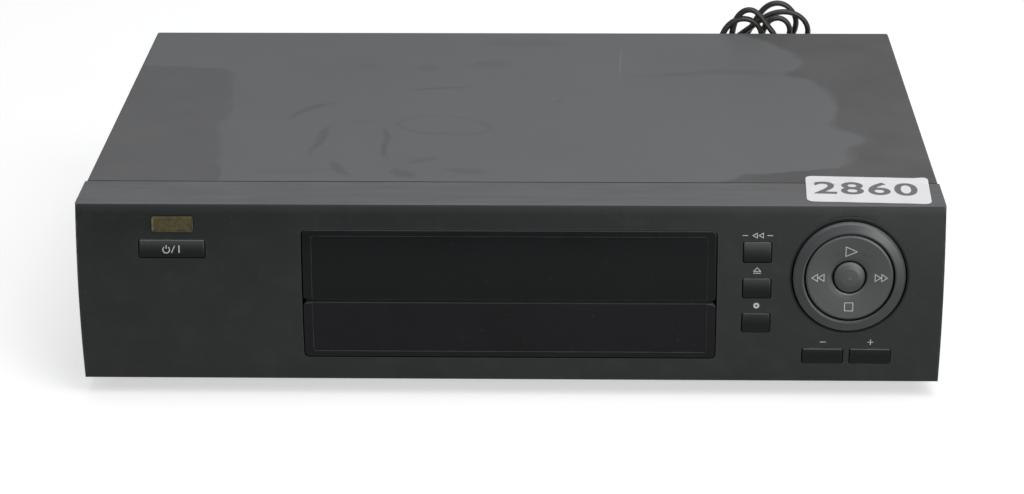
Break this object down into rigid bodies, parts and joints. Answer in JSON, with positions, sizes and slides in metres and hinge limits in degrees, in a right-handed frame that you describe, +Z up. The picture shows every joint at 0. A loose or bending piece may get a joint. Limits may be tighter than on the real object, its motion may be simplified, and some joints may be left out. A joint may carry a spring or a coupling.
{
  "type": "video cassette recorder",
  "caption": "Front-loading video cassette recorder with flap door, display window, keys, shuttle ring, tape deck inside, rear sockets and a mains cord.",
  "frame": {"origin": "On the surface that the recorder stands on, under the middle of its width and depth.", "axes": "+Z up, +Y from the front panel to the rear, +X to the right seen from the front."},
  "size_m": [0.4028, 0.3208, 0.11],
  "materials": {
    "case_paint": "satin dark grey paint on sheet steel, lightly textured",
    "panel_plastic": "fine-textured black moulding",
    "key_plastic": "smooth black moulding",
    "ring_plastic": "satin dark grey moulding",
    "door_plastic": "polished black moulding",
    "window_plastic": "dark smoked window",
    "inner_plastic": "plain black moulding",
    "foot_plastic": "black moulding",
    "pad_rubber": "dull black",
    "screw_steel": "blackened",
    "plated_steel": "zinc plated sheet",
    "bright_steel": "ground",
    "turned_aluminium": "turned and polished",
    "circuit_board": "brown phenolic board with solder resist",
    "component_plastic": "moulded and sleeved components",
    "ferrite": "dark ferrite with yellow tape",
    "sink_aluminium": "black anodised",
    "tube_glass": "grey green glass",
    "gear_plastic": "natural acetal",
    "roller_rubber": "ground black rubber",
    "cord_vinyl": "black flexible vinyl",
    "plug_vinyl": "black moulded vinyl"
  },
  "bodies": {
    "root": {"fascia": "panel_plastic", "tact_switches": "component_plastic", "front_board": "circuit_board", "front_board_screws": "screw_steel", "display_window": "window_plastic", "display_tube": "tube_glass", "knob_base": "inner_plastic", "top_cover": "case_paint", "cover_screws": "screw_steel", "bottom_chassis": "inner_plastic", "feet": "foot_plastic", "foot_pads": "pad_rubber", "rear_panel": "case_paint", "av_sockets": "component_plastic", "tuner_modulator": "plated_steel", "audio_jacks": "component_plastic", "cord_grip": "inner_plastic", "main_board": "circuit_board", "main_board_parts": "component_plastic", "power_board": "circuit_board", "transformer": "ferrite", "heat_sink": "sink_aluminium", "power_parts": "component_plastic", "deck_plate": "plated_steel", "deck_screws": "screw_steel", "deck_shafts": "bright_steel", "drum_lower": "turned_aluminium", "capstan_housing": "turned_aluminium", "loading_motor": "plated_steel", "tape_heads": "plated_steel", "housing_bracket_left": "plated_steel", "housing_bracket_right": "plated_steel", "housing_bridge": "plated_steel", "mains_cord_lead": "cord_vinyl", "mains_cord_tail": "cord_vinyl", "mains_cord_hank": "cord_vinyl", "mains_plug": "plug_vinyl"},
    "power_key": {"power_button": "key_plastic"},
    "review_key": {"review_button": "key_plastic"},
    "eject_key": {"eject_button": "key_plastic"},
    "record_key": {"record_button": "key_plastic"},
    "channel_down_key": {"channel_down_button": "key_plastic"},
    "channel_up_key": {"channel_up_button": "key_plastic"},
    "door": {"cassette_door": "door_plastic"},
    "ring": {"shuttle_ring": "ring_plastic"},
    "gimbal": {"disc_gimbal": "inner_plastic"},
    "disc": {"play_disc": "ring_plastic"},
    "pause_key": {"pause_button": "key_plastic"},
    "head_drum": {"drum_upper": "turned_aluminium"},
    "capstan_rotor": {"capstan": "bright_steel"},
    "supply_reel": {"supply_reel_table": "gear_plastic"},
    "takeup_reel": {"takeup_reel_table": "gear_plastic"},
    "supply_guide": {"supply_tape_guide": "bright_steel"},
    "takeup_guide": {"takeup_tape_guide": "bright_steel"},
    "pinch_lever": {"pinch_arm": "plated_steel"},
    "roller": {"pinch_roller": "roller_rubber"},
    "cam": {"cam_gear": "gear_plastic"},
    "worm": {"loading_worm": "gear_plastic"},
    "holder": {"cassette_holder": "plated_steel"}
  },
  "joints": [
    {"name": "power_press", "type": "slide", "parent": "root", "child": "power_key", "axis": [0, 1, 0], "range_m": [0, 0.001], "stiffness_N_per_m": 400, "springref_m": -0.001},
    {"name": "review_press", "type": "slide", "parent": "root", "child": "review_key", "axis": [0, 1, 0], "range_m": [0, 0.001], "stiffness_N_per_m": 400, "springref_m": -0.001},
    {"name": "eject_press", "type": "slide", "parent": "root", "child": "eject_key", "axis": [0, 1, 0], "range_m": [0, 0.001], "stiffness_N_per_m": 400, "springref_m": -0.001},
    {"name": "record_press", "type": "slide", "parent": "root", "child": "record_key", "axis": [0, 1, 0], "range_m": [0, 0.001], "stiffness_N_per_m": 400, "springref_m": -0.001},
    {"name": "channel_down_press", "type": "slide", "parent": "root", "child": "channel_down_key", "axis": [0, 1, 0], "range_m": [0, 0.001], "stiffness_N_per_m": 400, "springref_m": -0.001},
    {"name": "channel_up_press", "type": "slide", "parent": "root", "child": "channel_up_key", "axis": [0, 1, 0], "range_m": [0, 0.001], "stiffness_N_per_m": 400, "springref_m": -0.001},
    {"name": "pause_press", "type": "slide", "parent": "root", "child": "pause_key", "axis": [0, 0.9932, -0.1162], "range_m": [0, 0.001], "stiffness_N_per_m": 400, "springref_m": -0.001},
    {"name": "door_swing", "type": "hinge", "parent": "root", "child": "door", "pos_m": [0, -0.12598, 0.0795], "axis": [1, 0, 0], "range_deg": [0, 96], "stiffness_Nm_per_rad": 0.02, "springref_deg": -28.65},
    {"name": "ring_turn", "type": "hinge", "parent": "root", "child": "ring", "pos_m": [0.1564, -0.1319, 0.0614], "axis": [0, -0.9932, 0.1162], "range_deg": [-60, 60], "stiffness_Nm_per_rad": 0.02},
    {"name": "disc_rock_sideways", "type": "hinge", "parent": "root", "child": "gimbal", "pos_m": [0.1564, -0.12475, 0.06056], "axis": [0, 0.1162, 0.9932], "range_deg": [-2.5, 2.5], "stiffness_Nm_per_rad": 0.6},
    {"name": "disc_rock_up_down", "type": "hinge", "parent": "gimbal", "child": "disc", "pos_m": [0.1564, -0.12475, 0.06056], "axis": [1, 0, 0], "range_deg": [-2.5, 2.5], "stiffness_Nm_per_rad": 0.6},
    {"name": "drum_spin", "type": "hinge", "parent": "root", "child": "head_drum", "pos_m": [-0.004, 0.03068, 0.03], "axis": [0, 0.1045, 0.9945], "continuous": true},
    {"name": "capstan_spin", "type": "hinge", "parent": "root", "child": "capstan_rotor", "pos_m": [0.062, -0.00732, 0.02], "axis": [0, 0, 1], "continuous": true},
    {"name": "supply_reel_spin", "type": "hinge", "parent": "root", "child": "supply_reel", "pos_m": [-0.046, -0.06782, 0.025], "axis": [0, 0, 1], "continuous": true},
    {"name": "takeup_reel_spin", "type": "hinge", "parent": "root", "child": "takeup_reel", "pos_m": [0.046, -0.06782, 0.025], "axis": [0, 0, 1], "continuous": true},
    {"name": "cam_turn", "type": "hinge", "parent": "root", "child": "cam", "pos_m": [0.084, 0.04868, 0.025], "axis": [0, 0, 1], "range_deg": [0, 180]},
    {"name": "worm_turn", "type": "hinge", "parent": "root", "child": "worm", "pos_m": [0.084, 0.07573, 0.0325], "axis": [1, 0, 0], "range_deg": [0, 7920]},
    {"name": "supply_guide_travel", "type": "hinge", "parent": "root", "child": "supply_guide", "pos_m": [-0.004, 0.03068, 0.024], "axis": [0, 0, 1], "range_deg": [-90, 0]},
    {"name": "takeup_guide_travel", "type": "hinge", "parent": "root", "child": "takeup_guide", "pos_m": [-0.004, 0.03068, 0.024], "axis": [0, 0, 1], "range_deg": [0, 90]},
    {"name": "pinch_swing", "type": "hinge", "parent": "root", "child": "pinch_lever", "pos_m": [0.092, 0.00148, 0.024], "axis": [0, 0, 1], "range_deg": [0, 20]},
    {"name": "pinch_roller_spin", "type": "hinge", "parent": "pinch_lever", "child": "roller", "pos_m": [0.06381, 0.01174, 0.028], "axis": [0, 0, 1], "continuous": true},
    {"name": "holder_slide", "type": "slide", "parent": "root", "child": "holder", "axis": [0, 1, 0], "range_m": [0, 0.045]}
  ],
  "couplings": [
    {"joint": "worm_turn", "follows": "cam_turn", "ratio": 44},
    {"joint": "supply_guide_travel", "follows": "cam_turn", "ratio": -0.5},
    {"joint": "takeup_guide_travel", "follows": "cam_turn", "ratio": 0.5},
    {"joint": "pinch_swing", "follows": "cam_turn", "ratio": 0.11111}
  ]
}
